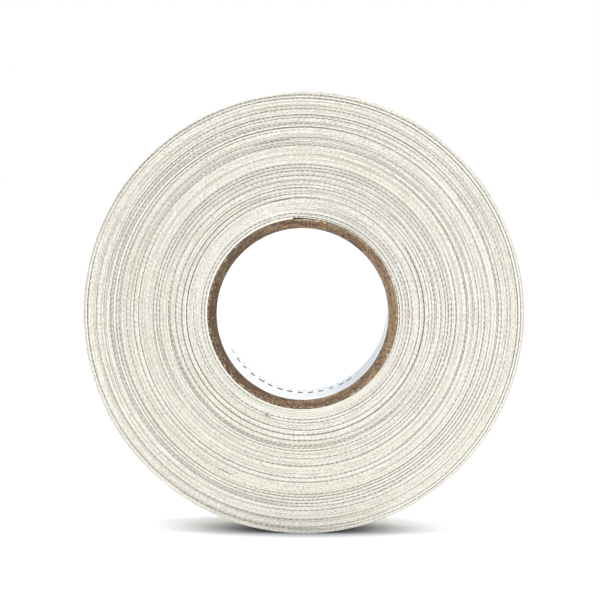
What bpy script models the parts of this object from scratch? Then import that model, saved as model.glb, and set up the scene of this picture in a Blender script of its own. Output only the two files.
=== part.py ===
"""A roll of cloth grip tape on a spiral-wound paperboard core, standing on its rim.

The roll's axis runs along Y and its front side faces -Y. The lowest facet of the outer turn
rests on Z = 0, with the roll's centre above the origin. Everything is drawn in the roll's own
plane: local X and Y across the roll, local Z along its axis towards the front. An empty at the
roll's centre turns that plane upright.

The tape is one strip wound as a spiral, 83 turns long. It is held as lengths of that strip: the
turns that bond to the core, four banks of turns, the outer turn, and the free end in short
lengths that hinge on each other, so that the end can be lifted and curled back.
"""

import math

import bmesh
import bpy

# Driving dimensions, in metres, degrees and turns.
CORE_BORE_RADIUS = 0.01905
LINER_THICKNESS = 0.00014
PLY_THICKNESS = 0.0005
PLY_COUNT = 4
GLUE_GAP = 0.00003
SEAM_WIDTH = 0.0003
SEAM_TILT = 54.0  # of each ply's butt seam from the roll's axis
FIRST_SEAM_ANGLE = 20.0
SEAM_STAGGER = 83.0  # from one ply's seam to the next one's

TAPE_WIDTH = 0.024
TAPE_PITCH = 0.000336
WINDING_GAP = 0.00003
BUTT_GAP = 0.00005  # between one length of the strip and the next, along the strip
TURNS = 83
CORE_TURNS = 6
BANK_TURNS = 19
BANKS = 4

FACETS = 96  # to a turn, with one lying flat at the bottom of the roll
TIP_FACET = 25  # the strip's end, counted from +X towards the top
END_LENGTHS = 6
END_LENGTH_FACETS = 2

FACET_ANGLE = 2 * math.pi / FACETS
TAPE_THICKNESS = TAPE_PITCH - WINDING_GAP
CORE_OUTER_RADIUS = CORE_BORE_RADIUS + LINER_THICKNESS + PLY_COUNT * (PLY_THICKNESS + GLUE_GAP)
TAPE_INNER_RADIUS = CORE_OUTER_RADIUS + GLUE_GAP
STRIP_END = TURNS * FACETS  # the strip's length in facets, from the core outwards
END_ROOT = STRIP_END - END_LENGTHS * END_LENGTH_FACETS

COTTON = (0.80, 0.79, 0.72)
BONDED_COTTON = (0.70, 0.73, 0.70)
BOARD = (0.20, 0.13, 0.09)
INNER_BOARD = (0.30, 0.20, 0.12)
WHITE_PAPER = (0.80, 0.84, 0.86)


def clear_scene():
    """Removes whatever the scene holds."""
    for obj in list(bpy.data.objects):
        bpy.data.objects.remove(obj, do_unlink=True)


def add_collection(name):
    """Makes a collection in the scene."""
    collection = bpy.data.collections.new(name)
    bpy.context.scene.collection.children.link(collection)
    return collection


def make_material(name, colour, roughness):
    """Makes a plain non-metallic finish."""
    material = bpy.data.materials.new(name)
    material.use_nodes = True
    shader = material.node_tree.nodes["Principled BSDF"]
    shader.inputs["Base Color"].default_value = (*colour, 1.0)
    shader.inputs["Roughness"].default_value = roughness
    shader.inputs["Metallic"].default_value = 0.0
    material.diffuse_color = (*colour, 1.0)
    return material


# Places on the strip


def facet_corner_angle(facet):
    """The angle at which a corner of the strip lies, counted in facets from the strip's start.

    Corners fall half a facet off the vertical, so that a facet lies flat at the bottom.
    """
    return (TIP_FACET + facet + 0.5) * FACET_ANGLE


def inner_radius(facet):
    """The radius of the strip's adhesive side, this many facets from the strip's start."""
    return TAPE_INNER_RADIUS + TAPE_PITCH * facet / FACETS


def outer_radius(facet):
    """The radius of the strip's cloth side, this many facets from the strip's start."""
    return inner_radius(facet) + TAPE_THICKNESS


def around(radius, angle):
    """A point in the roll's plane."""
    return (radius * math.cos(angle), radius * math.sin(angle))


def facets_between(start, end):
    """The corners from start to end, with both ends moved in by half the butt gap."""
    inset = 0.5 * BUTT_GAP / (inner_radius(start) * FACET_ANGLE)
    corners = [start + inset]
    corners += range(start + 1, end)
    corners.append(end - inset)
    return corners


def side_of_strip(radius_of, start, end):
    """The points along one side of the strip."""
    return [
        around(radius_of(facet), facet_corner_angle(facet))
        for facet in facets_between(start, end)
    ]


# Shapes


def add_flat_outline(name, outlines, thickness):
    """A flat shape between closed outlines, thickened to both sides of its plane."""
    curve = bpy.data.curves.new(name, "CURVE")
    curve.dimensions = "2D"
    curve.fill_mode = "BOTH"
    curve.extrude = thickness / 2
    for outline in outlines:
        spline = curve.splines.new("POLY")
        spline.points.add(len(outline) - 1)
        for point, (x, y) in zip(spline.points, outline):
            point.co = (x, y, 0.0, 1.0)
        spline.use_cyclic_u = True
    return bpy.data.objects.new(name, curve)


def add_ring(name, inner, outer, length):
    """A turned ring about local Z, with its corners in line with the tape's."""
    half = length / 2
    profile = bmesh.new()
    corners = [
        profile.verts.new((outer, 0.0, half)),
        profile.verts.new((outer, 0.0, -half)),
        profile.verts.new((inner, 0.0, -half)),
        profile.verts.new((inner, 0.0, half)),
    ]
    for here, after in zip(corners, corners[1:] + corners[:1]):
        profile.edges.new((here, after))
    mesh = bpy.data.meshes.new(name)
    profile.to_mesh(mesh)
    profile.free()
    ring = bpy.data.objects.new(name, mesh)
    turned = ring.modifiers.new("Turned", "SCREW")
    turned.steps = FACETS
    turned.render_steps = FACETS
    turned.use_merge_vertices = True
    turned.merge_threshold = 0.00001
    ring.rotation_euler.z = FACET_ANGLE / 2
    return ring


def add_seam_cutter(name, angle, collection, parent):
    """A thin slab along a ply's butt seam, which runs slantwise from one end of the core to the other."""
    bpy.ops.mesh.primitive_cube_add(size=1.0)
    slab = bpy.context.object
    slab.name = name
    for vertex in slab.data.vertices:
        vertex.co.x *= 0.9 * CORE_BORE_RADIUS
        vertex.co.y *= SEAM_WIDTH
        vertex.co.z *= 2.2 * TAPE_WIDTH
    for old in list(slab.users_collection):
        old.objects.unlink(slab)
    collection.objects.link(slab)
    slab.parent = parent
    slab.location = (*around(0.8 * CORE_BORE_RADIUS, angle), 0.0)
    slab.rotation_euler = (math.radians(SEAM_TILT), 0.0, angle)
    slab.hide_render = True
    slab.display_type = "WIRE"
    return slab


def place(obj, collection, material, parent):
    """Puts a sub-part in its collection, under its parent, in its own finish."""
    collection.objects.link(obj)
    obj.parent = parent
    obj.data.materials.append(material)
    return obj


def smooth_round_sides(obj):
    """Turns a sub-part into the mesh that its curve or modifiers make, smooth round its curved sides."""
    bpy.context.view_layer.update()
    graph = bpy.context.evaluated_depsgraph_get()
    mesh = bpy.data.meshes.new_from_object(obj.evaluated_get(graph))
    cleaned = bmesh.new()
    cleaned.from_mesh(mesh)
    bmesh.ops.remove_doubles(cleaned, verts=cleaned.verts, dist=0.000001)
    cleaned.to_mesh(mesh)
    cleaned.free()
    mesh.shade_smooth()
    mesh.set_sharp_from_angle(angle=math.radians(30.0))
    name = obj.name
    solid = bpy.data.objects.new(name, mesh)
    for collection in obj.users_collection:
        collection.objects.link(solid)
    solid.parent = obj.parent
    solid.location = obj.location
    solid.rotation_euler = obj.rotation_euler
    for child in list(obj.children):
        child.parent = solid
    bpy.data.objects.remove(obj, do_unlink=True)
    solid.name = name
    return solid


# Sub-parts


def build_core(collection, cutters, axis):
    """The liner and the board plies, each a ring, each ply parted by its slanted butt seam."""
    paper = make_material("white_paper", WHITE_PAPER, 0.6)
    radius = CORE_BORE_RADIUS
    liner = add_ring("core_liner", radius, radius + LINER_THICKNESS, TAPE_WIDTH)
    smooth_round_sides(place(liner, collection, paper, axis))
    radius += LINER_THICKNESS + GLUE_GAP
    for number in range(1, PLY_COUNT + 1):
        share = (number - 1) / (PLY_COUNT - 1)
        colour = [a + share * (b - a) for a, b in zip(INNER_BOARD, BOARD)]
        board = make_material(f"board_{number}", colour, 0.85)
        ply = add_ring(f"core_ply_{number}", radius, radius + PLY_THICKNESS, TAPE_WIDTH)
        place(ply, collection, board, axis)
        seam_angle = math.radians(FIRST_SEAM_ANGLE + (number - 1) * SEAM_STAGGER)
        slab = add_seam_cutter(f"seam_cutter_{number}", seam_angle, cutters, axis)
        seam = ply.modifiers.new("Butt seam", "BOOLEAN")
        seam.operation = "DIFFERENCE"
        seam.object = slab
        smooth_round_sides(ply)
        radius += PLY_THICKNESS + GLUE_GAP


def build_bank(name, first_turn, turns, collection, material, axis):
    """Whole turns of the strip as one piece, stepped inside and outside where the strip starts and ends."""
    start = first_turn * FACETS
    end = start + turns * FACETS
    outside = side_of_strip(outer_radius, end - FACETS, end)
    inside = side_of_strip(inner_radius, start, start + FACETS)
    # The step of the inner outline stands clear of the length before this one, and the step of
    # the outer outline stands clear of the length after it.
    inset = BUTT_GAP / (outer_radius(end) * FACET_ANGLE)
    outside[0] = around(outer_radius(end - FACETS), facet_corner_angle(end - inset))
    outside[-1] = around(outer_radius(end), facet_corner_angle(end - inset))
    inside[0] = around(inner_radius(start), facet_corner_angle(start))
    inside[-1] = around(inner_radius(start + FACETS), facet_corner_angle(start))
    bank = add_flat_outline(name, [outside, inside], TAPE_WIDTH)
    return smooth_round_sides(place(bank, collection, material, axis))


def build_length(name, start, end, collection, material, parent, origin=(0.0, 0.0)):
    """A length of the single strip, with its own origin in the roll's plane."""
    outline = side_of_strip(outer_radius, start, end)
    outline += reversed(side_of_strip(inner_radius, start, end))
    local = [(x - origin[0], y - origin[1]) for x, y in outline]
    length = add_flat_outline(name, [local], TAPE_WIDTH)
    return smooth_round_sides(place(length, collection, material, parent))


def build_free_end(collection, material, axis):
    """The last lengths of the strip, each hinged on the one before along its cloth side."""
    parent = axis
    parent_origin = (0.0, 0.0)
    for number in range(END_LENGTHS):
        start = END_ROOT + number * END_LENGTH_FACETS
        end = start + END_LENGTH_FACETS
        hinge = around(outer_radius(start), facet_corner_angle(start))
        name = f"tape_end_{number + 1}"
        length = build_length(name, start, end, collection, material, parent, hinge)
        length.location = (hinge[0] - parent_origin[0], hinge[1] - parent_origin[1], 0.0)
        parent = length
        parent_origin = hinge


def build_tape(collection, axis):
    """The strip, from the turns that bond to the core out to its free end."""
    cotton = make_material("cotton_tape", COTTON, 0.9)
    bonded = make_material("bonded_tape", BONDED_COTTON, 0.7)
    build_bank("tape_core_turns", 0, CORE_TURNS, collection, bonded, axis)
    for bank in range(BANKS):
        first_turn = CORE_TURNS + bank * BANK_TURNS
        name = f"tape_bank_{bank + 1}"
        build_bank(name, first_turn, BANK_TURNS, collection, cotton, axis)
    outer_start = (TURNS - 1) * FACETS
    build_length("tape_outer_turn", outer_start, END_ROOT, collection, cotton, axis)
    build_free_end(collection, cotton, axis)


def axis_height():
    """The height of the roll's axis, with the outer turn's lowest corner on Z = 0."""
    past_tip = FACETS * 3 // 4 - TIP_FACET
    lowest = (TURNS - 1) * FACETS + past_tip
    return outer_radius(lowest) * math.cos(FACET_ANGLE / 2)


def main():
    clear_scene()
    parts = add_collection("grip_tape_roll")
    cutters = add_collection("cutters")
    axis = bpy.data.objects.new("roll_axis", None)
    parts.objects.link(axis)
    axis.location = (0.0, 0.0, axis_height())
    axis.rotation_euler.x = math.pi / 2
    build_core(parts, cutters, axis)
    build_tape(parts, axis)


main()
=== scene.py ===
"""The looks of a roll of cloth grip tape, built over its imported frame.

The roll stands on its rim with its axis along Y and its front side facing -Y. The tape is one
strip: it is made flat, at its real length, and then wound round the core, so each turn of the
side face is real. Angles go round the axis from +X towards +Z, which is anticlockwise as the
front side is looked at.
"""

from __future__ import annotations

import logging
import math
from dataclasses import dataclass, field
from enum import Enum
from typing import Sequence, Union

import bpy
import numpy as np
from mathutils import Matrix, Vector, noise


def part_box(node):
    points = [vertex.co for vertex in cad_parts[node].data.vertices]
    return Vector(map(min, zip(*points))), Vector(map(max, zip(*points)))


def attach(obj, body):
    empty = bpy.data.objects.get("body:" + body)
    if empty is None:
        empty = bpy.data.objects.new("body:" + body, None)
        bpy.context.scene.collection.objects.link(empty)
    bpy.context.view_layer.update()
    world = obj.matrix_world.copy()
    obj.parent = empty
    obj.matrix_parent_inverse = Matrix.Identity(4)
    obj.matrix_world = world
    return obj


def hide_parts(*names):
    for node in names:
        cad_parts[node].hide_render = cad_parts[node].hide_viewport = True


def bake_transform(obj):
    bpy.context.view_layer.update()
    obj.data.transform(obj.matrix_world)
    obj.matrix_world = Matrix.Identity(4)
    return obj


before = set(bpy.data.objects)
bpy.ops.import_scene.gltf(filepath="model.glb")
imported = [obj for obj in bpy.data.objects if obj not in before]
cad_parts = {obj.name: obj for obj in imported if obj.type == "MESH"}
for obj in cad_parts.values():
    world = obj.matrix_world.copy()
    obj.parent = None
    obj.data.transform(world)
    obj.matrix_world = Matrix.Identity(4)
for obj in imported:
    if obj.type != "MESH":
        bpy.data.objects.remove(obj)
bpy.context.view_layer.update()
LOG = logging.getLogger("grip_tape_roll")

MM = 0.001
FULL_TURN = 2 * math.pi
ROLL = "roll"

Colour = tuple[float, float, float]
Array = np.ndarray
Piece = bpy.types.Object

WHITE: Colour = (1.0, 1.0, 1.0)
BLACK: Colour = (0.0, 0.0, 0.0)


# ---- Working with operators ----


def start_object(name: str) -> Piece:
    """Names the primitive that was just added.

    Args:
        name: The piece's name.

    Returns:
        The new object, which is the active one.
    """
    obj = bpy.context.object
    obj.name = name
    obj.data.name = name
    return obj


def deselect_everything() -> None:
    """Leaves no object selected, so that an operator acts only on what comes next."""
    if bpy.context.mode != "OBJECT":
        bpy.ops.object.mode_set(mode="OBJECT")
    bpy.ops.object.select_all(action="DESELECT")


def activate(obj: Piece) -> None:
    """Makes one object the only selected one.

    Args:
        obj: The object.
    """
    deselect_everything()
    obj.select_set(True)
    bpy.context.view_layer.objects.active = obj


def edit(obj: Piece) -> None:
    """Opens an object in edit mode with all of it selected.

    Args:
        obj: The object.
    """
    activate(obj)
    bpy.ops.object.mode_set(mode="EDIT")
    bpy.ops.mesh.select_all(action="SELECT")


def leave_edit() -> None:
    """Goes back to object mode."""
    bpy.ops.object.mode_set(mode="OBJECT")


def apply_modifier(obj: Piece, kind: str, **settings: object) -> None:
    """Adds a modifier and applies it.

    Args:
        obj: The object to change.
        kind: The modifier's type, such as SCREW.
        settings: Its settings by name.
    """
    activate(obj)
    modifier = obj.modifiers.new(kind.title(), kind)
    for name, value in settings.items():
        setattr(modifier, name, value)
    bpy.ops.object.modifier_apply(modifier=modifier.name)


def close_ends(obj: Piece) -> None:
    """Fills every open end of a tube and turns its faces outwards.

    Args:
        obj: The tube.
    """
    edit(obj)
    bpy.ops.mesh.select_mode(type="EDGE")
    bpy.ops.mesh.select_all(action="DESELECT")
    bpy.ops.mesh.select_non_manifold(extend=False)
    bpy.ops.mesh.edge_face_add()
    face_outwards()


def face_outwards() -> None:
    """Turns the faces of the mesh in edit mode outwards and leaves edit mode."""
    bpy.ops.mesh.select_all(action="SELECT")
    bpy.ops.mesh.normals_make_consistent(inside=False)
    leave_edit()


def shade_round(obj: Piece, sharp_degrees: float) -> None:
    """Shades an object smooth, except over edges sharper than the given angle."""
    activate(obj)
    bpy.ops.object.shade_smooth_by_angle(angle=math.radians(sharp_degrees))


def points_of(obj: Piece) -> Array:
    """Reads an object's points.

    Args:
        obj: The object.

    Returns:
        One row of three numbers for each point.
    """
    points = np.empty(len(obj.data.vertices) * 3)
    obj.data.vertices.foreach_get("co", points)
    return points.reshape(-1, 3)


def move_points(obj: Piece, points: Array) -> None:
    """Puts the object's points at the given rows."""
    obj.data.vertices.foreach_set("co", points.reshape(-1).astype(np.float32))
    obj.data.update()


def write_attribute(obj: Piece, name: str, values: Array) -> None:
    """Stores one number at each point of an object, for its material to read."""
    attribute = obj.data.attributes.new(name, "FLOAT", "POINT")
    attribute.data.foreach_set("value", values.astype(np.float32))


def finish_piece(
    obj: Piece,
    material: bpy.types.Material,
    node: str,
    body: str | None = ROLL,
) -> Piece:
    """Dresses a piece, puts it on its body and hides the CAD node that it stands for.

    Args:
        obj: The finished mesh.
        material: Its finish.
        node: The CAD node that it stands for.
        body: The body that it rides on, or None to leave it on none.

    Returns:
        The same object.
    """
    obj.data.materials.clear()
    obj.data.materials.append(material)
    if body is not None:
        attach(obj, body)
    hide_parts(node)
    LOG.info("%s: %d faces", obj.name, len(obj.data.polygons))
    return obj


# ---- Materials ----


class Value:
    """A number that varies over a surface. Arithmetic on it adds Math nodes."""

    def __init__(self, graph: Graph, socket: bpy.types.NodeSocket) -> None:
        """Wraps an output socket of a graph."""
        self.graph = graph
        self.socket = socket

    def __add__(self, other: Number) -> Value:
        """The sum."""
        return self.graph.math("ADD", self, other)

    __radd__ = __add__

    def __mul__(self, other: Number) -> Value:
        """The product."""
        return self.graph.math("MULTIPLY", self, other)

    __rmul__ = __mul__

    def __sub__(self, other: Number) -> Value:
        """This less the other."""
        return self.graph.math("SUBTRACT", self, other)

    def __rsub__(self, other: Number) -> Value:
        """The other less this."""
        return self.graph.math("SUBTRACT", other, self)

    def __truediv__(self, other: Number) -> Value:
        """This over the other."""
        return self.graph.math("DIVIDE", self, other)

    def sine(self) -> Value:
        """The sine, in radians."""
        return self.graph.math("SINE", self)

    def size(self) -> Value:
        """The value without its sign."""
        return self.graph.math("ABSOLUTE", self)

    def fraction(self) -> Value:
        """What is left above the last whole number."""
        return self.graph.math("FRACT", self)

    def least(self, other: Number) -> Value:
        """The lower of the two."""
        return self.graph.math("MINIMUM", self, other)

    def most(self, other: Number) -> Value:
        """The higher of the two."""
        return self.graph.math("MAXIMUM", self, other)

    def between(self, low: float, high: float) -> Value:
        """Goes smoothly from 0 to 1.

        Args:
            low: Where it is 0, and below.
            high: Where it is 1, and above.

        Returns:
            The result.
        """
        sockets = {"Value": self, "From Min": low, "From Max": high}
        settings = {"interpolation_type": "SMOOTHSTEP"}
        return self.graph.value("ShaderNodeMapRange", "Result", settings, sockets)


Number = Union[Value, float]
Socket = Union[Value, bpy.types.NodeSocket, float, tuple]
Settings = dict[str, object]
Sockets = dict[Union[str, int], Socket]


class Graph:
    """The nodes of one material, ending in a Principled shader."""

    def __init__(self, name: str) -> None:
        """Makes an empty material with its shader and its output.

        Args:
            name: The material's name.
        """
        self.material = bpy.data.materials.new(name)
        self.material.use_nodes = True
        self.tree = self.material.node_tree
        self.tree.nodes.clear()
        self.shader = self.node("ShaderNodeBsdfPrincipled")
        self.node("ShaderNodeOutputMaterial", sockets={"Surface": self.shader.outputs["BSDF"]})

    def node(
        self, kind: str, settings: Settings | None = None, sockets: Sockets | None = None
    ) -> bpy.types.Node:
        """Adds a node.

        Args:
            kind: The node's type.
            settings: Its own settings, which are made first.
            sockets: The values or links of its inputs, by name or number.

        Returns:
            The node.
        """
        node = self.tree.nodes.new(kind)
        for name, setting in (settings or {}).items():
            setattr(node, name, setting)
        for name, given in (sockets or {}).items():
            self.feed(node.inputs[name], given)
        return node

    def feed(self, socket: bpy.types.NodeSocket, given: Socket) -> None:
        """Links a socket, or sets its value.

        Args:
            socket: The input.
            given: A value, an output socket, a number or a tuple. A colour may leave out alpha.
        """
        if isinstance(given, Value):
            self.tree.links.new(given.socket, socket)
        elif isinstance(given, bpy.types.NodeSocket):
            self.tree.links.new(given, socket)
        elif isinstance(given, tuple) and socket.type == "RGBA" and len(given) == 3:
            socket.default_value = (*given, 1.0)
        else:
            socket.default_value = given

    def value(
        self,
        kind: str,
        output: str,
        settings: Settings | None = None,
        sockets: Sockets | None = None,
    ) -> Value:
        """Adds a node, as node() does, and gives one of its outputs as a value."""
        return Value(self, self.node(kind, settings, sockets).outputs[output])

    def math(self, operation: str, first: Number, second: Number | None = None) -> Value:
        """Adds a Math node.

        Args:
            operation: The node's operation.
            first: Its first value.
            second: Its second value, if the operation has one.

        Returns:
            The result.
        """
        sockets: Sockets = {0: first}
        if second is not None:
            sockets[1] = second
        return self.value("ShaderNodeMath", "Value", {"operation": operation}, sockets)

    def attribute(self, name: str) -> Value:
        """A number stored at the points of the mesh."""
        return self.value("ShaderNodeAttribute", "Fac", {"attribute_name": name})

    def place(self) -> bpy.types.NodeSocket:
        """The point's place in metres."""
        return self.node("ShaderNodeTexCoord").outputs["Object"]

    def axes(self) -> tuple[Value, Value, Value]:
        """The point's place as three values."""
        parts = self.node("ShaderNodeSeparateXYZ", sockets={0: self.place()})
        return tuple(Value(self, socket) for socket in parts.outputs)

    def vector(self, x: Number, y: Number, z: Number) -> bpy.types.NodeSocket:
        """A vector from three values."""
        sockets: Sockets = {0: x, 1: y, 2: z}
        return self.node("ShaderNodeCombineXYZ", sockets=sockets).outputs[0]

    def noise(
        self, vector: bpy.types.NodeSocket, scale: float, detail: float, rough: float = 0.5
    ) -> Value:
        """Smooth noise from 0 to 1.

        Args:
            vector: Where to read it.
            scale: How many bumps there are to a unit.
            detail: How many finer layers it has.
            rough: How strong the finer layers are.

        Returns:
            The noise.
        """
        sockets: Sockets = {
            "Vector": vector,
            "Scale": scale,
            "Detail": detail,
            "Roughness": rough,
        }
        return self.value("ShaderNodeTexNoise", "Fac", sockets=sockets)

    def mix(self, share: Number, first: Socket, second: Socket) -> bpy.types.NodeSocket:
        """Mixes two colours.

        Args:
            share: 0 for the first colour, 1 for the second.
            first: The first colour.
            second: The second colour.

        Returns:
            The mixed colour.
        """
        # The node has a set of sockets for each type of data, so those for colours go by number.
        node = self.node("ShaderNodeMix", {"data_type": "RGBA"})
        self.feed(node.inputs[0], share)
        self.feed(node.inputs[6], first)
        self.feed(node.inputs[7], second)
        return node.outputs[2]

    def dress(
        self,
        colour: Socket,
        roughness: Number,
        height: Number | None = None,
        depth: float = 0.0,
        **uniform: Socket,
    ) -> bpy.types.Material:
        """Feeds the shader.

        Args:
            colour: The base colour.
            roughness: The roughness.
            height: The surface's height from 0 to 1, for its fine relief.
            depth: How deep that relief is, in metres.
            uniform: Other inputs of the shader that are the same all over, with _ for a space.

        Returns:
            The material.
        """
        self.feed(self.shader.inputs["Base Color"], colour)
        self.feed(self.shader.inputs["Roughness"], roughness)
        for name, given in uniform.items():
            self.feed(self.shader.inputs[name.replace("_", " ")], given)
        if height is not None:
            sockets: Sockets = {"Height": height, "Distance": depth}
            bump = self.node("ShaderNodeBump", sockets=sockets)
            self.feed(self.shader.inputs["Normal"], bump.outputs["Normal"])
        return self.material


@dataclass(frozen=True)
class ClothFinish:
    """Woven cotton tape: plain weave on its cloth side, cut yarn ends along its edges."""

    name: str
    cotton: Colour
    # shade also takes the painted shade of sunk, soft and upper-left turns, and pale the painted
    # highlight of proud turns.
    shade: Colour
    pale: Colour
    # deep is the colour of the painted shade in the gaps between turns.
    deep: Colour = (0.13, 0.12, 0.095)
    adhesive: Colour = (0.66, 0.61, 0.48)
    speckle: float = 1.0
    yarn: float = 0.59 * MM
    edge_yarn: float = 1.18 * MM
    rough: float = 0.85
    relief: float = 0.09 * MM

    def material(self) -> bpy.types.Material:
        """Makes the finish.

        Returns:
            The material.
        """
        graph = Graph(self.name)
        along = graph.attribute("along")
        through = graph.attribute("through")
        tone = graph.attribute("tone")
        groove_shade = graph.attribute("groove_shade")
        cut = graph.attribute("cut")
        _, across, _ = graph.axes()

        # The cloth side is a plain weave, one yarn over the next.
        lengthwise = (along * (math.pi / self.yarn)).sine()
        crosswise = (across * (math.pi / self.yarn)).sine()
        weave = lengthwise * crosswise * 0.5 + 0.5

        # The cut edge shows yarn ends that drift out of step, with fibres, flecks and clumps.
        strand = graph.vector(along / MM, through * 0.35, across / MM)
        slow_drift = graph.noise(strand, 0.035, detail=0.0) * 26.0
        drift = slow_drift + graph.noise(strand, 0.9, detail=0.0) * 2.4
        ends = (along * (FULL_TURN / self.edge_yarn) + drift).sine() * 0.5 + 0.5
        fibres = graph.noise(strand, 6.0, detail=3.0, rough=0.7)
        flecks = graph.noise(strand, 2.7, detail=2.0, rough=0.6)
        clumps = graph.noise(strand, 0.55, detail=1.0)
        glued = (0 - through).between(0.85, 0.98) * (1 - cut)

        edge_height = ends * 0.35 + fibres * 0.3 + flecks * 0.35
        cloth_height = (weave * 0.6 + fibres * 0.15) * (1 - glued) + flecks * glued * 0.3
        height = edge_height * cut + cloth_height * (1 - cut)

        # Dull places go towards the shade colour, and so does the painted shade of sunk, soft and
        # upper-left turns. Pale places and the painted highlight on proud turns go towards pale. The
        # painted shade in the grooves is deepest.
        dark_flecks = (1 - flecks).between(0.46, 0.66) * 0.5
        between_ends = (1 - ends) * 0.4 * clumps.between(0.35, 0.6)
        darker = between_ends + dark_flecks + (0.5 - fibres) * 1.0
        worn = (1 - weave) * 0.8 + (1 - clumps) * 0.2 + (0.5 - fibres) * 0.9
        dull = darker * self.speckle * cut + worn * (1 - cut)
        dusty = graph.mix(dull.most(0.0).least(1.0), self.cotton, self.shade)
        toned_and_shaded = graph.mix(tone.most(0.0).least(1.0) * cut, dusty, self.shade)
        bright_flecks = flecks.between(0.53, 0.66) * 0.5
        pale_and_highlight_share = ((0 - tone).most(0.0) + bright_flecks * (1 - tone.most(0.0))).least(1.0)
        paled_and_highlit = graph.mix(pale_and_highlight_share * cut, toned_and_shaded, self.pale)
        outer_side = through.between(-0.6, 0.5)
        dashes = ends.between(0.2, 0.65) * 0.8 + 0.2
        # Painted shade in the gap beside each turn's edge, on its outer half and broken into dashes.
        painted_groove_shade = (groove_shade * outer_side * dashes * cut).least(0.9)
        groove_shaded = graph.mix(painted_groove_shade, paled_and_highlit, self.deep)
        colour = graph.mix(glued * 0.85, groove_shaded, self.adhesive)
        return graph.dress(
            colour,
            self.rough - fibres * 0.1 - glued * 0.35,
            height,
            self.relief,
            Specular_IOR_Level=0.25,
            Sheen_Weight=0.15,
            Sheen_Roughness=0.6,
        )


@dataclass(frozen=True)
class BoardFinish:
    """Brown paperboard, with fibres and pale and dark flecks, and painted light that makes its right
    side golder and its left side browner.

    The seed shifts the pattern, and fuzz says how much pale fluff the board has, from 0 to 1.
    """

    name: str
    axis_height: float
    seed: float
    fuzz: float
    brown: Colour = (0.102, 0.067, 0.046)
    gold: Colour = (0.40, 0.272, 0.158)
    umber: Colour = (0.060, 0.043, 0.035)
    cream: Colour = (0.70, 0.58, 0.42)
    relief: float = 0.16 * MM

    def material(self) -> bpy.types.Material:
        """Makes the finish.

        Returns:
            The material.
        """
        graph = Graph(self.name)
        x, y, z = graph.axes()
        place = graph.vector(x / MM + self.seed, y / MM, z / MM)
        patches = graph.noise(place, 0.22, detail=2.0)
        mottle = graph.noise(place, 1.3, detail=3.0, rough=0.65)
        grain = graph.noise(place, 3.6, detail=4.0, rough=0.75)
        up = z / MM - self.axis_height / MM
        # Painted light: the board grows golder towards the right and browner towards the left.
        painted_lit_side = (x / MM - up * 0.05).between(-21.0, 24.0)

        warm_and_lit = painted_lit_side * 0.75 + (patches - 0.5) * 2.2 + (mottle - 0.5) * 4.6 + (grain - 0.5) * 4.4
        base = graph.mix(warm_and_lit.between(-0.35, 1.4), self.brown, self.gold)
        blotch = mottle.between(0.5, 0.6) * grain.between(0.42, 0.54) * (1.0 - painted_lit_side * 0.35)
        dark = graph.mix(blotch, base, self.umber)
        flecks = graph.noise(place, 2.4, detail=2.0).between(0.63, 0.7)
        frayed = graph.noise(place, 1.6, detail=2.0, rough=0.7).between(0.53, 0.63) * self.fuzz
        light = (flecks * 0.5 + frayed).least(0.9)
        colour = graph.mix(light, dark, self.cream)
        height = grain * 0.55 + mottle * 0.45
        return graph.dress(colour, 0.92, height, self.relief, Specular_IOR_Level=0.2)


@dataclass(frozen=True)
class PaperFinish:
    """White paper with a faint bluish cast, painted shade on its right side, and plain dashes printed
    round part of it.
    """

    name: str
    axis_height: float
    radius: float
    white: Colour = (0.955, 0.96, 0.97)
    blue_cast_and_shade: Colour = (0.60, 0.64, 0.70)
    ink: Colour = (0.02, 0.024, 0.05)
    relief: float = 0.03 * MM

    def material(self) -> bpy.types.Material:
        """Makes the finish.

        Returns:
            The material.
        """
        graph = Graph(self.name)
        x, y, z = graph.axes()
        angle = graph.math("ARCTAN2", z - self.axis_height, x)
        around = angle * (self.radius / MM)
        depth = y / MM
        place = graph.vector(x / MM, depth, z / MM)
        fibres = graph.noise(place, 3.0, detail=4.0, rough=0.7)
        cloud = graph.noise(place, 0.16, detail=1.0)

        # Two rows of dashes run round the foot of the bore, behind its middle.
        bold = self.row(graph, around, depth, 2.6, 2.7, 2.4)
        fine = self.row(graph, around + 11.0, depth, 7.4, 1.1, 1.6) * 0.75
        printed = (angle + 2.75).between(0.0, 0.25) * (1 - (angle + 1.05).between(0.0, 0.3))
        ink = (bold + fine) * printed * fibres.between(0.2, 0.45)

        # Painted shade: the liner turns a darker bluish colour on its right side.
        painted_right_shade = x.between(2.0 * MM, 15.0 * MM) * 0.55
        paper = graph.mix(cloud.between(0.4, 0.8) * 0.2 + painted_right_shade, self.white, self.blue_cast_and_shade)
        colour = graph.mix(ink.least(0.95), paper, self.ink)
        return graph.dress(colour, 0.6, fibres, self.relief, Specular_IOR_Level=0.35)

    def row(
        self, graph: Graph, around: Value, depth: Value, middle: float, tall: float, pitch: float
    ) -> Value:
        """One printed row of dashes of uneven length, in millimetres.

        Args:
            graph: The material's nodes.
            around: The way round the bore.
            depth: The way along the axis.
            middle: The row's place along the axis, from the roll's middle.
            tall: How tall its dashes are.
            pitch: How far apart they are on average.

        Returns:
            1 on a dash and 0 off it.
        """
        uneven = graph.noise(graph.vector(around, 0.0, 0.0), 0.9, detail=0.0)
        column = (around / pitch + uneven * 0.5).fraction()
        dash = column.between(0.1, 0.2) * (1 - column.between(0.6, 0.72))
        off = (depth - middle - (uneven - 0.5) * 0.8).size() / tall
        return dash * (1 - off.between(0.45, 0.6))


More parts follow.
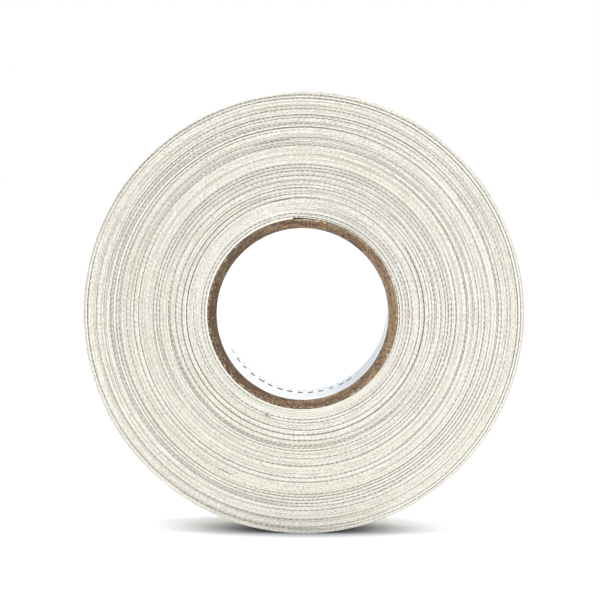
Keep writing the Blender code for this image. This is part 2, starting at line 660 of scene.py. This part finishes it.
@dataclass(frozen=True)
class FloorFinish:
    """The plain white floor, which glows faintly, with a painted shadow under the roll where it is dark
    and has no glow.
    """

    white: Colour = (0.96, 0.975, 1.0)
    painted_shadow_grey: Colour = (0.032, 0.033, 0.04)
    half_length: float = 32.5 * MM
    half_width: float = 14.5 * MM
    forward: float = 6.5 * MM
    glow: float = 0.22

    def material(self) -> bpy.types.Material:
        """Makes the finish.

        Returns:
            The material.
        """
        graph = Graph("studio_floor")
        x, y, _ = graph.axes()
        # Painted shadow: a soft dark ellipse under the roll, a little in front of its foot, where the
        # floor's glow is left out too.
        long_way = x / self.half_length
        short_way = (y + self.forward) / self.half_width
        reach = graph.math("SQRT", long_way * long_way + short_way * short_way)
        painted_shadow = 1 - reach.between(0.06, 1.08)
        glowing = graph.mix(painted_shadow, self.white, BLACK)
        graph.feed(graph.shader.inputs["Emission Color"], glowing)
        return graph.dress(
            graph.mix(painted_shadow, self.white, self.painted_shadow_grey),
            0.95,
            Specular_IOR_Level=0.0,
            Emission_Strength=self.glow,
        )


# ---- The tape ----


@dataclass(frozen=True)
class Winding:
    """Where the tape's strip lies round the roll's axis, by how many turns of it are wound.

    The strip starts and ends at tip_degrees. Its first turn steps over its start within
    step_turns, and the step fades out over some step_fade turns.
    """

    axis_height: float
    core_radius: float
    glue_gap: float = 0.03 * MM
    pitch: float = 0.336 * MM
    visible_gap: float = 0.004 * MM
    width: float = 24.0 * MM
    turns: int = 83
    tip_degrees: float = 95.625
    step_turns: float = 0.03
    step_fade: float = 5.0

    @property
    def thickness(self) -> float:
        """The strip's own thickness, with the fuzz that closes the gaps between turns."""
        return self.pitch - self.visible_gap

    def angle(self, turn: Array | float) -> Array | float:
        """The angle of a place on the strip."""
        return math.radians(self.tip_degrees) + FULL_TURN * turn

    def radius(self, turn: Array | float) -> Array | float:
        """The radius of the middle of the strip's thickness.

        The first turn lies on the core all the way round and then steps over the strip's start.
        The step fades out in the next few turns.

        Args:
            turn: Where on the strip, in turns from the core.

        Returns:
            The radius in metres.
        """
        share = turn % 1.0
        step = np.clip((share - 1.0 + self.step_turns) / self.step_turns, 0.0, 1.0)
        early = (step * step * (3.0 - 2.0 * step) - share) * np.exp(-turn / self.step_fade)
        middle = self.core_radius + self.glue_gap + self.thickness / 2
        return middle + self.pitch * (turn + early)

    def along(self, turn: Array | float) -> Array | float:
        """The length of strip from its start, laid flat."""
        first = self.core_radius + self.glue_gap
        return FULL_TURN * (first * turn + self.pitch * turn * turn / 2)

    def turn_at(self, radius: float, angle: float) -> float:
        """The place on the strip nearest to a radius and an angle.

        Args:
            radius: The radius in metres.
            angle: The angle in degrees.

        Returns:
            The place, in turns from the core.
        """
        share = ((angle - self.tip_degrees) / 360.0) % 1.0
        whole = round((radius - self.radius(0.0)) / self.pitch - share)
        return whole + share

    def point(self, turn: float) -> Vector:
        """The middle of the strip at a place on it.

        Args:
            turn: Where on the strip, in turns from the core.

        Returns:
            The point, in metres.
        """
        radius = self.radius(turn)
        angle = self.angle(turn)
        return Vector((radius * math.cos(angle), 0.0, self.axis_height + radius * math.sin(angle)))


class Slip(Enum):
    """How a stretch of one turn sits against its neighbours."""

    # Besides moving the edge, sunk and soft stretches get painted shade, proud ones a painted
    # highlight, and open ones painted shade in their gap.
    OPEN = "a gap between this turn and the next one"
    SUNK = "the turn's edge lies behind the others"
    PROUD = "the turn's edge stands in front of the others"
    SOFT = "the turn lies a little deep, and looks duller"


@dataclass(frozen=True)
class Stretch:
    """A stretch of a turn that was wound unevenly, by its radius and where it starts and ends."""

    radius_mm: float
    start_degrees: float
    end_degrees: float
    slip: Slip
    strength: float


# The stretches that show most on the front side. The back side has every second one of them.
FRONT_STRETCHES = (
    Stretch(48.9, 0, 359, Slip.SOFT, 0.8),
    Stretch(48.1, 0, 180, Slip.OPEN, 0.5),
    Stretch(48.1, 180, 260, Slip.OPEN, 1.2),
    Stretch(47.7, 170, 300, Slip.PROUD, 0.6),
    Stretch(46.8, -30, 100, Slip.SOFT, 0.8),
    Stretch(46.0, 160, 260, Slip.OPEN, 0.7),
    Stretch(44.5, 60, 230, Slip.OPEN, 0.8),
    Stretch(42.7, 60, 250, Slip.OPEN, 0.7),
    Stretch(41.7, 20, 120, Slip.OPEN, 0.9),
    Stretch(41.3, 215, 300, Slip.SUNK, 0.6),
    Stretch(40.1, 110, 170, Slip.SOFT, 1.0),
    Stretch(38.4, 0, 170, Slip.OPEN, 0.7),
    Stretch(38.0, 0, 140, Slip.OPEN, 0.5),
    Stretch(36.6, -40, 50, Slip.OPEN, 0.8),
    Stretch(34.3, -95, 10, Slip.OPEN, 0.9),
    Stretch(40.4, -100, -10, Slip.OPEN, 0.8),
    Stretch(43.2, -60, 30, Slip.OPEN, 0.7),
    Stretch(40.6, 150, 215, Slip.OPEN, 0.7),
    Stretch(36.6, 160, 250, Slip.OPEN, 0.9),
    Stretch(35.9, -40, 150, Slip.PROUD, 0.7),
    Stretch(35.1, -60, 70, Slip.SUNK, 0.6),
    Stretch(33.8, 0, 359, Slip.SOFT, 0.9),
    Stretch(32.5, 200, 330, Slip.OPEN, 0.7),
    Stretch(31.4, -60, 160, Slip.SOFT, 0.8),
    Stretch(29.8, 180, 310, Slip.OPEN, 1.1),
    Stretch(29.8, 0, 120, Slip.OPEN, 0.6),
    Stretch(28.8, 0, 120, Slip.OPEN, 0.6),
    Stretch(28.3, 90, 270, Slip.SUNK, 0.8),
    Stretch(27.2, -70, 25, Slip.OPEN, 1.2),
    Stretch(27.2, 25, 110, Slip.OPEN, 0.5),
    Stretch(27.0, 110, 270, Slip.OPEN, 0.5),
    Stretch(26.5, 180, 300, Slip.PROUD, 0.7),
    Stretch(25.8, 90, 250, Slip.OPEN, 0.9),
    Stretch(25.2, 120, 300, Slip.SOFT, 0.7),
    Stretch(23.4, -60, 90, Slip.OPEN, 0.3),
    Stretch(39.1, 96, 104, Slip.OPEN, 1.4),
    Stretch(25.8, 98, 104, Slip.OPEN, 1.3),
    Stretch(39.5, 243, 245, Slip.OPEN, 2.2),
    Stretch(24.1, 250, 252, Slip.OPEN, 2.2),
)


WANDER_VALUES = 8192
WANDER_START = 16.0
NEIGHBOUR_SHARE = 0.45


def wander(turn: Array, every: float, seed: int) -> Array:
    """A smooth random wander from -1 to 1 along the strip.

    Args:
        turn: Places on the strip, in turns.
        every: How many turns there are between one random value and the next.
        seed: Which wander it is.

    Returns:
        Its value at each place.
    """
    values = np.random.default_rng(seed).uniform(-1.0, 1.0, WANDER_VALUES)
    place = turn / every + WANDER_START
    low = np.floor(place).astype(int)
    share = place - low
    share = share * share * (3.0 - 2.0 * share)
    return values[low] * (1.0 - share) + values[low + 1] * share


def differ(turn: Array, every: float, seed: int) -> Array:
    """A smooth random wander less what it shares with the turns just inside and outside.

    Args:
        turn: Places on the strip, in turns.
        every: How many turns there are between one random value and the next.
        seed: Which wander it is.

    Returns:
        Its value at each place, mostly from -1 to 1.
    """
    beside = wander(turn - 1.0, every, seed) + wander(turn + 1.0, every, seed)
    return wander(turn, every, seed) - NEIGHBOUR_SHARE * beside


def window(turn: Array, start: float, end: float, fade: float) -> Array:
    """Picks out a part of the strip.

    Args:
        turn: Places on the strip, in turns.
        start: Where the part starts.
        end: Where it ends.
        fade: How many turns it takes to fade out, beyond its start and its end.

    Returns:
        1 in the part and 0 away from it.
    """
    rise = np.clip((turn - start + fade) / fade, 0.0, 1.0)
    fall = np.clip((end + fade - turn) / fade, 0.0, 1.0)
    both = rise * fall
    return both * both * (3.0 - 2.0 * both)


@dataclass
class Unevenness:
    """How the strip strays from a perfect spiral: its edges, its gaps, its colour and its painted shade
    and highlight.

    The shares are of the strip's thickness. The painted shade in the gaps between turns and the painted
    shade towards the upper left say how much they darken.
    """

    winding: Winding
    stretches: Sequence[Stretch]
    seed: int
    stray: float = 0.075 * MM
    band_stray: float = 0.025 * MM
    sunk: float = 0.19 * MM
    proud: float = 0.1 * MM
    open_share: float = 0.18
    loose_share: float = 0.14
    widest_share: float = 0.7
    ripple_size: float = 0.075 * MM
    fade_turns: float = 0.07
    line_groove_shade: float = 0.9
    open_groove_shade: float = 1.05
    side_shade: float = 0.1
    shaded_side_degrees: float = 130.0

    def spans(self, slip: Slip, turn: Array) -> Array:
        """How strongly each place on the strip slips in the given way.

        Args:
            slip: The way.
            turn: Places on the strip, in turns.

        Returns:
            The strength at each place, which is 0 where it doesn't slip.
        """
        total = np.zeros_like(turn)
        for stretch in self.stretches:
            if stretch.slip is not slip:
                continue
            middle = (stretch.start_degrees + stretch.end_degrees) / 2
            centre = self.winding.turn_at(stretch.radius_mm * MM, middle)
            half = (stretch.end_degrees - stretch.start_degrees) / (2 * 360.0)
            fade = min(self.fade_turns, half)
            total += stretch.strength * window(turn, centre - half, centre + half, fade)
        return total

    def edge_out(self, turn: Array) -> Array:
        """How far the edge stands out of the side face.

        Args:
            turn: Places on the strip, in turns.

        Returns:
            The distance at each place, in metres.
        """
        own = 0.5 * differ(turn, 0.45, self.seed)
        quick = 0.4 * wander(turn, 0.11, self.seed + 1)
        stray = self.stray * (own + quick)
        band = self.band_stray * wander(turn, 2.6, self.seed + 2)
        slips = self.proud * self.spans(Slip.PROUD, turn) - self.sunk * self.spans(Slip.SUNK, turn)
        return stray + band + slips - 0.35 * self.sunk * self.spans(Slip.SOFT, turn)

    def fine_lines(self, turn: Array) -> Array:
        """How strongly each place shows as a fine dark line that comes and goes, from 0 to 1."""
        return np.clip((differ(turn, 0.6, self.seed + 3) - 0.3) / 0.4, 0.0, 1.0)

    def ripple(self, turn: Array) -> Array:
        """How far the strip's inner side lies off its spiral.

        Args:
            turn: Places on the strip, in turns.

        Returns:
            The distance at each place, in metres.
        """
        slow = wander(turn, 0.21, self.seed + 7)
        quick = wander(turn, 0.035, self.seed + 8)
        return self.ripple_size * (0.75 * slow + 0.25 * quick) * np.clip(turn / 2, 0.0, 1.0)

    def openness(self, turn: Array) -> Array:
        """The share of the strip's thickness by which it stands off the turn outside it."""
        loose = self.loose_share * self.fine_lines(turn)
        return np.clip(loose + self.open_share * self.spans(Slip.OPEN, turn), 0.0, self.widest_share)

    def groove_shade(self, turn: Array) -> Array:
        """How dark the painted shade in the gap beside the edge is."""
        return self.line_groove_shade * self.fine_lines(turn) + self.open_groove_shade * self.spans(Slip.OPEN, turn)

    def tone(self, turn: Array) -> Array:
        """How dull or pale the edge looks.

        Args:
            turn: Places on the strip, in turns.

        Returns:
            The value at each place, dull above 0 and pale below 0. Besides random variation it holds
            painted shade on sunk and soft turns and towards the upper left, and a painted highlight on
            proud turns.
        """
        fine = 0.3 * differ(turn, 0.4, self.seed + 4) + 0.18 * wander(turn, 0.03, self.seed + 5)
        band = 0.08 * wander(turn, 2.2, self.seed + 6)
        # Painted shade on sunk and soft turns.
        painted_recess_shade = 0.2 * self.spans(Slip.SUNK, turn) + 0.1 * self.spans(Slip.SOFT, turn)
        # Painted highlight on proud turns; the first turns are paler.
        pale = 0.25 * self.spans(Slip.PROUD, turn) + 0.4 * window(turn, -1.0, 1.1, 0.3)
        # Painted shade: the side faces grow darker round the given angle, towards the upper left as the
        # front side is looked at.
        from_shaded_side = self.winding.angle(turn) - math.radians(self.shaded_side_degrees)
        painted_side_shade = self.side_shade * (1.0 + np.cos(from_shaded_side))
        return fine + band + painted_recess_shade + painted_side_shade - pale


@dataclass
class Tape:
    """The one strip of tape: the turns bonded to the core, four banks, the outer turn and the end."""

    winding: Winding
    core_turns: int = 6
    banks: int = 4
    bank_turns: int = 19
    end_lengths: int = 6
    end_length_turns: float = 7.5 / 360.0
    steps_per_turn: int = 240
    corner: float = 0.055 * MM
    front: Unevenness = field(init=False)
    back: Unevenness = field(init=False)
    cloth: bpy.types.Material = field(init=False)
    bonded: bpy.types.Material = field(init=False)

    def __post_init__(self) -> None:
        """Sets how both sides stray, and makes the finishes."""
        self.front = Unevenness(self.winding, FRONT_STRETCHES, seed=11)
        self.back = Unevenness(self.winding, FRONT_STRETCHES[1::2], seed=211)
        cotton = ClothFinish(
            "cotton_tape",
            cotton=(0.84, 0.81, 0.725),
            shade=(0.42, 0.395, 0.33),
            pale=(0.955, 0.935, 0.855),
        )
        bonded = ClothFinish(
            "bonded_tape",
            cotton=(0.79, 0.775, 0.70),
            shade=(0.46, 0.45, 0.395),
            pale=(0.95, 0.915, 0.79),
            speckle=0.5,
        )
        self.cloth = cotton.material()
        self.bonded = bonded.material()

    def flat_strip(self, name: str, steps: int, length: float) -> tuple[Piece, Array]:
        """Makes a straight length of strip with rounded edges.

        Args:
            name: The piece's name.
            steps: How many steps its length has.
            length: Its length in metres.

        Returns:
            The strip, and its section's points as (through, across), in the order in which each
            step of the strip repeats them.
        """
        deselect_everything()
        bpy.ops.mesh.primitive_plane_add(size=1.0)
        strip = start_object(name)
        edit(strip)
        bpy.ops.transform.resize(value=(self.winding.thickness, self.winding.width, 1.0))
        bpy.ops.mesh.bevel(offset=self.corner, segments=2, affect="VERTICES")
        bpy.ops.mesh.delete(type="ONLY_FACE")
        leave_edit()
        section = points_of(strip)[:, :2]
        apply_modifier(
            strip,
            "SCREW",
            angle=0.0,
            screw_offset=length,
            steps=steps,
            render_steps=steps,
            use_merge_vertices=False,
        )
        return strip, section

    def wind(self, name: str, start: float, end: float) -> Piece:
        """Makes a length of strip and winds it round the core.

        Args:
            name: The piece's name.
            start: Where on the strip it starts, in turns from the core.
            end: Where it ends.

        Returns:
            The wound piece.
        """
        winding = self.winding
        steps = round((end - start) * self.steps_per_turn)
        strip, section = self.flat_strip(name, steps, winding.along(end) - winding.along(start))
        close_ends(strip)
        order = np.arange(len(strip.data.vertices))
        step, place = np.divmod(order, len(section))
        turn = start + (end - start) * step / steps
        through = section[place, 0]
        across = section[place, 1]

        # Each side of the strip strays in its own way.
        on_front = across < 0.0
        edge_out = np.where(on_front, self.front.edge_out(turn), self.back.edge_out(turn))
        openness = np.where(on_front, self.front.openness(turn), self.back.openness(turn))
        tone = np.where(on_front, self.front.tone(turn), self.back.tone(turn))
        groove_shade = np.where(on_front, self.front.groove_shade(turn), self.back.groove_shade(turn))
        # The outer side follows the ripple of the next turn's inner side, so turns stay apart.
        half = winding.thickness / 2
        inner = self.front.ripple(turn)
        outer = self.front.ripple(turn + 1.0)
        share = (through / half + 1.0) / 2
        squeezed = through - openness * (through + half) + inner + (outer - inner) * share
        radius = winding.radius(turn) + squeezed
        angle = winding.angle(turn)
        y = across + np.sign(across) * edge_out
        z = winding.axis_height + radius * np.sin(angle)
        move_points(strip, np.column_stack([radius * np.cos(angle), y, z]))

        write_attribute(strip, "along", winding.along(turn))
        write_attribute(strip, "through", through / half)
        # These carry painted shade and a painted highlight for the material: on sunk, soft, proud and
        # upper-left turns, and in the gaps between turns.
        write_attribute(strip, "tone", tone)
        write_attribute(strip, "groove_shade", groove_shade)
        # The cut edge is the flat of the strip's edge and most of its rounded corners.
        cut = np.abs(across) > winding.width / 2 - 0.8 * self.corner
        write_attribute(strip, "cut", cut.astype(float))
        edit(strip)
        face_outwards()
        shade_round(strip, 50.0)
        return strip

    def declare(
        self,
        start: float,
        end: float,
        with_pieces: Sequence[Piece] = (),
    ) -> None:
        """Works out how long a wound piece's cloth is when it is laid flat, and keeps it nowhere.

        Args:
            start: Where on the strip it starts, in turns from the core.
            end: Where it ends.
            with_pieces: Not used.
        """
        length = self.winding.along(end) - self.winding.along(start)

    def build(self) -> None:
        """Builds every length of the strip."""
        core = self.wind("bonded_turns", 0.0, self.core_turns)
        finish_piece(core, self.bonded, "tape_core_turns")
        self.declare(0.0, self.core_turns)
        first = self.core_turns
        for bank in range(self.banks):
            last = first + self.bank_turns
            wound = self.wind(f"wound_turns_{bank + 1}", first, last)
            finish_piece(wound, self.cloth, f"tape_bank_{bank + 1}")
            self.declare(first, last)
            first = last
        root = self.winding.turns - self.end_lengths * self.end_length_turns
        half = self.end_length_turns / 2
        outer = self.wind("outer_turn", first, root - half)
        finish_piece(outer, self.cloth, "tape_outer_turn")
        self.declare(first, root - half, self.build_free_end(root, half))

    def build_free_end(self, root: float, half: float) -> list[Piece]:
        """Builds the lengths that lie over the free end's hinges, from middle to middle.

        Args:
            root: Where on the strip its first hinge is.
            half: Half of the turn share between two hinges.

        Returns:
            The lengths, from the outer turn to the tip.
        """
        pieces = []
        for number in range(self.end_lengths):
            hinge = root + number * self.end_length_turns
            last = number == self.end_lengths - 1
            after = f"tape_end_{number + 1}"
            start = hinge - half
            end = hinge + (2 * half if last else half)
            piece = self.wind(f"free_end_{number + 1}", start, end)
            self.winding.point(start)
            self.winding.point(hinge + half)
            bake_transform(piece)
            pieces.append(finish_piece(piece, self.cloth, after, body=None))
        return pieces


# ---- The core ----


@dataclass(frozen=True)
class Ply:
    """One layer of the core: a ring with a slanted butt seam."""

    node: str
    inner: float
    outer: float
    seam_degrees: float
    slot: str


@dataclass
class Core:
    """The paper tube that the tape is wound on: a white liner inside brown board plies."""

    axis_height: float
    bore_radius: float = 19.05 * MM
    liner_thickness: float = 0.14 * MM
    ply_thickness: float = 0.5 * MM
    glue_gap: float = 0.03 * MM
    plies: int = 4
    length: float = 24.0 * MM
    seam_width: float = 0.22 * MM
    seam_tilt: float = 54.0
    first_seam: float = 20.0
    stagger: float = 83.0
    steps: int = 480
    corner: float = 0.04 * MM
    face_cuts: int = 3
    ragged: float = 0.16 * MM
    ragged_depth: float = 0.2 * MM
    liner_ragged_share: float = 0.3
    outer_fuzz: float = 0.6

    @property
    def outer_radius(self) -> float:
        """The radius of the core's outside."""
        layer = self.ply_thickness + self.glue_gap
        return self.bore_radius + self.liner_thickness + self.plies * layer

    def layers(self) -> list[Ply]:
        """Works out the liner and the plies.

        Returns:
            The layers, from the bore outwards.
        """
        radius = self.bore_radius + self.liner_thickness
        liner_seam = self.first_seam - self.stagger
        found = [Ply("core_liner", self.bore_radius, radius, liner_seam, "liner_paper")]
        for number in range(1, self.plies + 1):
            radius += self.glue_gap
            seam = self.first_seam + (number - 1) * self.stagger
            node = f"core_ply_{number}"
            found.append(Ply(node, radius, radius + self.ply_thickness, seam, f"board_{number}"))
            radius += self.ply_thickness
        return found

    def ring(self, name: str, ply: Ply) -> Piece:
        """Turns a ply as a whole ring.

        Args:
            name: The piece's name.
            ply: The layer.

        Returns:
            The ring, round the roll's axis.
        """
        deselect_everything()
        bpy.ops.mesh.primitive_plane_add(size=1.0)
        ring = start_object(name)
        edit(ring)
        bpy.ops.transform.resize(value=(ply.outer - ply.inner, self.length, 1.0))
        bpy.ops.mesh.bevel(offset=self.corner, segments=1, affect="VERTICES")
        bpy.ops.mesh.delete(type="ONLY_FACE")
        bpy.ops.mesh.select_all(action="SELECT")
        bpy.ops.mesh.subdivide(number_cuts=self.face_cuts)
        bpy.ops.transform.translate(value=((ply.outer + ply.inner) / 2, 0.0, 0.0))
        leave_edit()
        apply_modifier(
            ring,
            "SCREW",
            axis="Y",
            steps=self.steps,
            render_steps=self.steps,
            use_merge_vertices=True,
            merge_threshold=0.001 * MM,
        )
        edit(ring)
        bpy.ops.transform.translate(value=(0.0, 0.0, self.axis_height))
        face_outwards()
        return ring

    def cut_seam(self, ring: Piece, degrees: float) -> None:
        """Parts a ring along a thin slab that runs slantwise from one end to the other.

        Args:
            ring: The ring to cut.
            degrees: The angle of the seam's middle.
        """
        angle = math.radians(degrees)
        deselect_everything()
        bpy.ops.mesh.primitive_cube_add(size=1.0)
        slab = start_object("seam_slab")
        edit(slab)
        bpy.ops.transform.resize(value=(0.9 * self.bore_radius, self.seam_width, 2.2 * self.length))
        leave_edit()
        # The slab leans about the radius through the seam's middle. It reaches from inside the
        # bore to past the core's outside.
        lean = math.radians(self.seam_tilt)
        radial = Vector((math.cos(angle), 0.0, math.sin(angle)))
        tangent = Vector((-math.sin(angle), 0.0, math.cos(angle)))
        forward = Vector((0.0, -1.0, 0.0))
        long_way = forward * math.cos(lean) - tangent * math.sin(lean)
        thin_way = tangent * math.cos(lean) + forward * math.sin(lean)
        middle = Vector((0.0, 0.0, self.axis_height)) + radial * (0.8 * self.bore_radius)
        corners = points_of(slab)
        turned = np.outer(corners[:, 0], radial) + np.outer(corners[:, 1], thin_way)
        turned += np.outer(corners[:, 2], long_way)
        move_points(slab, turned + np.array(middle))
        apply_modifier(ring, "BOOLEAN", operation="DIFFERENCE", object=slab)
        bpy.data.objects.remove(slab, do_unlink=True)

    def roughen(self, ring: Piece, amount: float) -> None:
        """Makes a ring's ends ragged, as where board is cut across.

        Args:
            ring: The ring.
            amount: How far a point of its ends may move, in metres.
        """
        points = points_of(ring)
        at_end = np.abs(points[:, 1]) > self.length / 2 - self.ragged_depth
        for index in np.flatnonzero(at_end):
            place = Vector(points[index]) / MM
            coarse = noise.noise(place * 0.9)
            fine = noise.noise(place * 3.1 + Vector((7.0, 0.0, 3.0)))
            across = noise.noise(place * 1.7 + Vector((0.0, 9.0, 5.0)))
            side = math.copysign(1.0, points[index, 1])
            points[index, 1] += side * amount * (0.5 * coarse + 0.4 * fine)
            from_axis = Vector((points[index, 0], 0.0, points[index, 2] - self.axis_height))
            out = from_axis.normalized() * (0.25 * amount * across)
            points[index, 0] += out.x
            points[index, 2] += out.z
        move_points(ring, points)

    def build(self) -> None:
        """Builds the liner and the plies."""
        for number, ply in enumerate(self.layers()):
            liner = ply.node == "core_liner"
            name = "white_liner" if liner else f"board_layer_{number}"
            ring = self.ring(name, ply)
            self.cut_seam(ring, ply.seam_degrees)
            self.roughen(ring, self.ragged * (self.liner_ragged_share if liner else 1.0))
            if liner:
                finish = PaperFinish("liner_paper", self.axis_height, self.bore_radius).material()
            else:
                finish = BoardFinish(
                    f"board_{number}",
                    self.axis_height,
                    seed=3.7 * number,
                    fuzz=self.outer_fuzz if number == self.plies else 0.0,
                ).material()
            shade_round(ring, 35.0)
            finish_piece(ring, finish, ply.node)


# ---- The studio ----


@dataclass(frozen=True)
class Lamp:
    """A distant soft light, by where it stands and how wide it looks, in degrees.

    Azimuth 0 is straight in front, and 90 is to the right.
    """

    name: str
    elevation: float
    azimuth: float
    strength: float
    width: float

    def build(self) -> None:
        """Adds the light."""
        lamp = bpy.data.lights.new(self.name, "SUN")
        lamp.energy = self.strength
        lamp.angle = math.radians(self.width)
        obj = bpy.data.objects.new(self.name, lamp)
        bpy.context.scene.collection.objects.link(obj)
        height = math.radians(self.elevation)
        around = math.radians(self.azimuth)
        level = math.cos(height)
        toward = Vector((math.sin(around) * level, -math.cos(around) * level, math.sin(height)))
        obj.rotation_euler = toward.to_track_quat("Z", "Y").to_euler()


@dataclass
class Studio:
    """The white floor and backdrop, the soft light and the camera.

    The camera stands at a distance in front of the roll's front side, a rise above its axis and
    to the right of it. Its pitch is downwards and its yaw to the left, in degrees.
    """

    axis_height: float
    front: float
    distance: float = 0.437
    rise: float = 0.0275
    right: float = 0.013
    pitch: float = 3.184
    yaw: float = 1.775
    lens: float = 117.65
    sensor: float = 36.0
    surround: float = 0.62
    room: float = 30.0
    lamps: tuple[Lamp, ...] = (
        Lamp("top_light", 78.0, 180.0, 1.7, 60.0),
        Lamp("front_light", 22.0, 28.0, 1.2, 30.0),
    )

    def build(self) -> None:
        """Adds everything."""
        self.add_floor()
        self.add_backdrop()
        self.add_surround()
        for lamp in self.lamps:
            lamp.build()
        self.add_camera()

    def add_floor(self) -> None:
        """Adds the floor, level with the foot of the roll."""
        deselect_everything()
        bpy.ops.mesh.primitive_plane_add(size=2.5 * self.room)
        floor = start_object("studio_floor")
        floor.data.materials.append(FloorFinish().material())

    def add_backdrop(self) -> None:
        """Adds the white dome that stands behind everything. It gives and takes no light."""
        deselect_everything()
        bpy.ops.mesh.primitive_uv_sphere_add(radius=self.room, segments=48, ring_count=24)
        dome = start_object("studio_backdrop")
        graph = Graph("studio_backdrop")
        graph.feed(graph.shader.inputs["Emission Strength"], 1.0)
        graph.feed(graph.shader.inputs["Emission Color"], WHITE)
        dome.data.materials.append(graph.dress(BLACK, 1.0, Specular_IOR_Level=0.0))
        dome.visible_diffuse = False
        dome.visible_glossy = False
        dome.visible_transmission = False
        dome.visible_shadow = False

    def add_surround(self) -> None:
        """Lights the scene evenly from all round."""
        world = bpy.data.worlds.new("studio")
        world.use_nodes = True
        background = world.node_tree.nodes["Background"]
        background.inputs["Color"].default_value = (*WHITE, 1.0)
        background.inputs["Strength"].default_value = self.surround
        bpy.context.scene.world = world

    def add_camera(self) -> None:
        """Adds the camera, and shows colours as they are."""
        data = bpy.data.cameras.new("camera")
        data.lens = self.lens
        data.sensor_width = self.sensor
        data.clip_end = 10.0 * self.room
        camera = bpy.data.objects.new("camera", data)
        bpy.context.scene.collection.objects.link(camera)
        camera.location = (self.right, self.front - self.distance, self.axis_height + self.rise)
        camera.rotation_euler = (math.radians(90.0 - self.pitch), 0.0, math.radians(self.yaw))
        bpy.context.scene.camera = camera
        bpy.context.scene.view_settings.view_transform = "Standard"


def middle_height(node: str) -> float:
    """The height of a node's middle."""
    low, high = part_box(node)
    return (low[2] + high[2]) / 2


def main() -> None:
    """Builds the roll and the studio."""
    logging.basicConfig(level=logging.INFO, format="%(message)s")
    axis_height = middle_height("core_liner")
    core = Core(axis_height)
    tape = Tape(Winding(axis_height, core.outer_radius))
    core.build()
    tape.build()
    Studio(axis_height, front=-tape.winding.width / 2).build()


if __name__ == "__main__":
    main()
